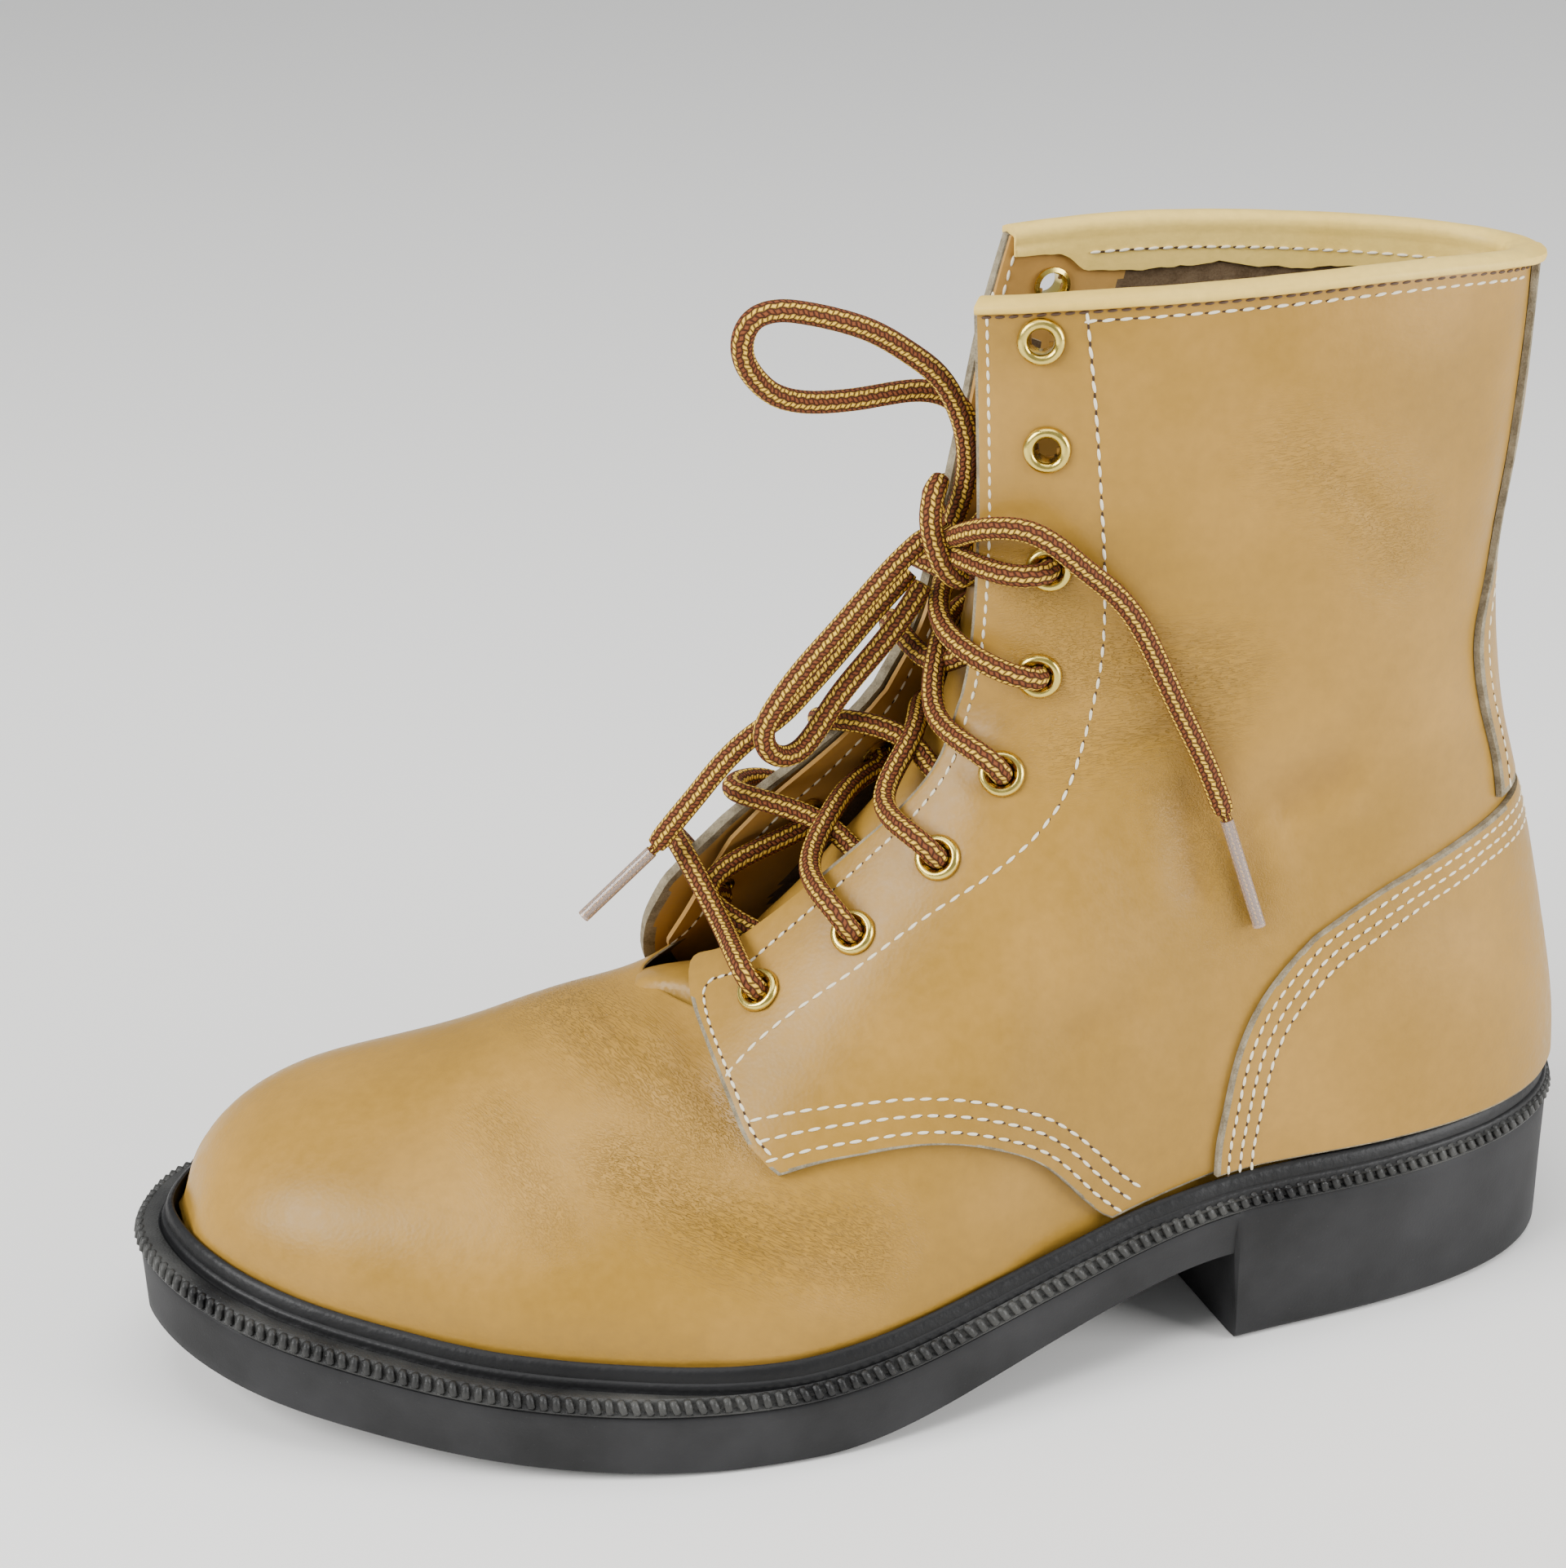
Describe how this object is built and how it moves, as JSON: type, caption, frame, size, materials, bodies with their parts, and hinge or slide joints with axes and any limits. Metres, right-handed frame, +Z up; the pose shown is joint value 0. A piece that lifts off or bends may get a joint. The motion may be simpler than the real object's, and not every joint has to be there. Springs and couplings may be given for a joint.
{
  "type": "work boot",
  "caption": "Lace-up ankle-high leather work boot with a moulded rubber sole and heel, bound collar, brass eyelets and a tied round lace.",
  "frame": {"origin": "middle of the heel's ground face, on the plane that heel and forefoot stand on", "axes": "+X towards the toe, +Y towards the outer (lateral) side of this left boot, +Z up"},
  "size_m": [0.3086, 0.1186, 0.2262],
  "materials": {
    "tan_leather": "smooth golden tan grain leather",
    "cream_leather": "smooth cream leather",
    "lining_suede": "brown grey flesh side",
    "sole_rubber": "matte black",
    "welt_rubber": "semi gloss black",
    "brass": "polished",
    "lace_braid": "round braid, red brown with yellow tracers",
    "aglet_plastic": "clear, slightly pink"
  },
  "bodies": {
    "root": {"aglet_c": "aglet_plastic", "aglet_d": "aglet_plastic", "backstay": "tan_leather", "collar_binding": "cream_leather", "end_c": "lace_braid", "end_d": "lace_braid", "eyelet_inner_1": "brass", "eyelet_inner_2": "brass", "eyelet_inner_3": "brass", "eyelet_inner_4": "brass", "eyelet_inner_5": "brass", "eyelet_inner_6": "brass", "eyelet_inner_7": "brass", "eyelet_inner_8": "brass", "eyelet_outer_1": "brass", "eyelet_outer_2": "brass", "eyelet_outer_3": "brass", "eyelet_outer_4": "brass", "eyelet_outer_5": "brass", "eyelet_outer_6": "brass", "eyelet_outer_7": "brass", "eyelet_outer_8": "brass", "heel_counter": "tan_leather", "insole": "lining_suede", "knot": "lace_braid", "lacing_4": "lace_braid", "lacing_5": "lace_braid", "lacing_6": "lace_braid", "lacing_7": "lace_braid", "lacing_8": "lace_braid", "lacing_bar": "lace_braid", "loop_a": "lace_braid", "loop_b": "lace_braid", "outsole": "sole_rubber", "quarter_inner": "tan_leather", "quarter_outer": "tan_leather", "tongue": "tan_leather", "upper": "tan_leather", "welt": "welt_rubber"}
  },
  "joints": []
}
